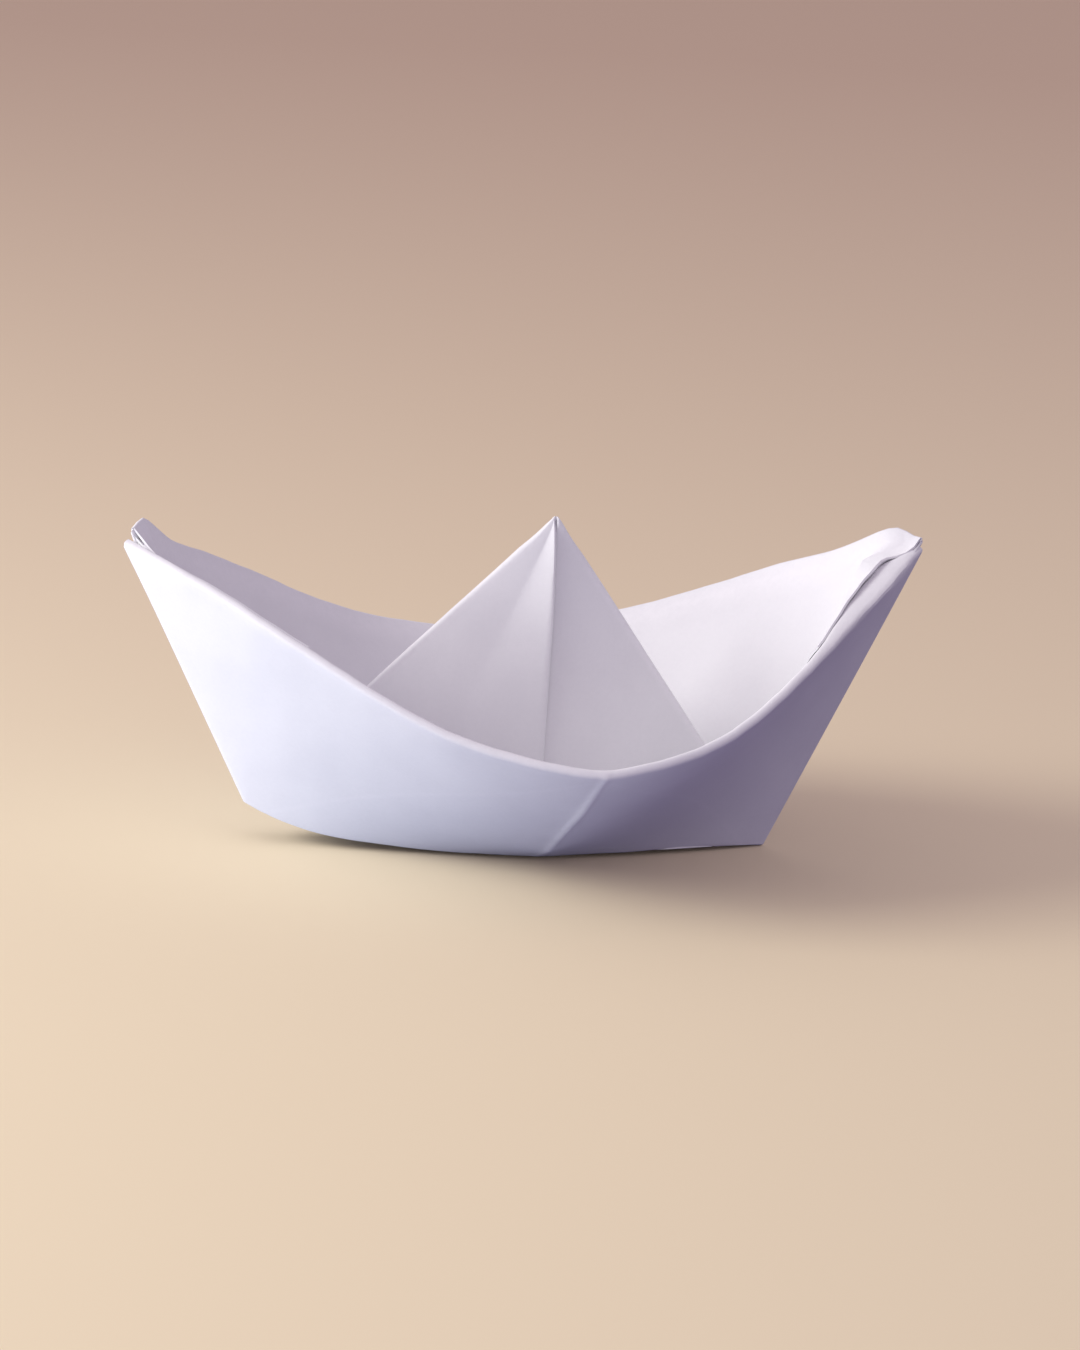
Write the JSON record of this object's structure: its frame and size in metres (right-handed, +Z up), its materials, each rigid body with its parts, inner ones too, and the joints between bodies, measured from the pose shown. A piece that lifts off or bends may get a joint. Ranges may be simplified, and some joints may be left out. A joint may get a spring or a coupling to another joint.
{
  "type": "origami sailboat",
  "caption": "Small folded-paper boat: flared hull sides with folded brims, raised pointed ends and a hollow peaked sail with a centre slit.",
  "frame": {"origin": "middle of the boat's length and breadth, on the plane that the keel creases rest on", "axes": "+X from the bow to the stern, +Y from the near side with the slit to the far side, +Z up along the sail"},
  "size_m": [0.0394, 0.0255, 0.0159],
  "materials": {
    "white_paper": "smooth uncoated white paper, matt, with creased edges"
  },
  "bodies": {
    "root": {"folded_paper_boat": "white_paper"}
  },
  "joints": []
}
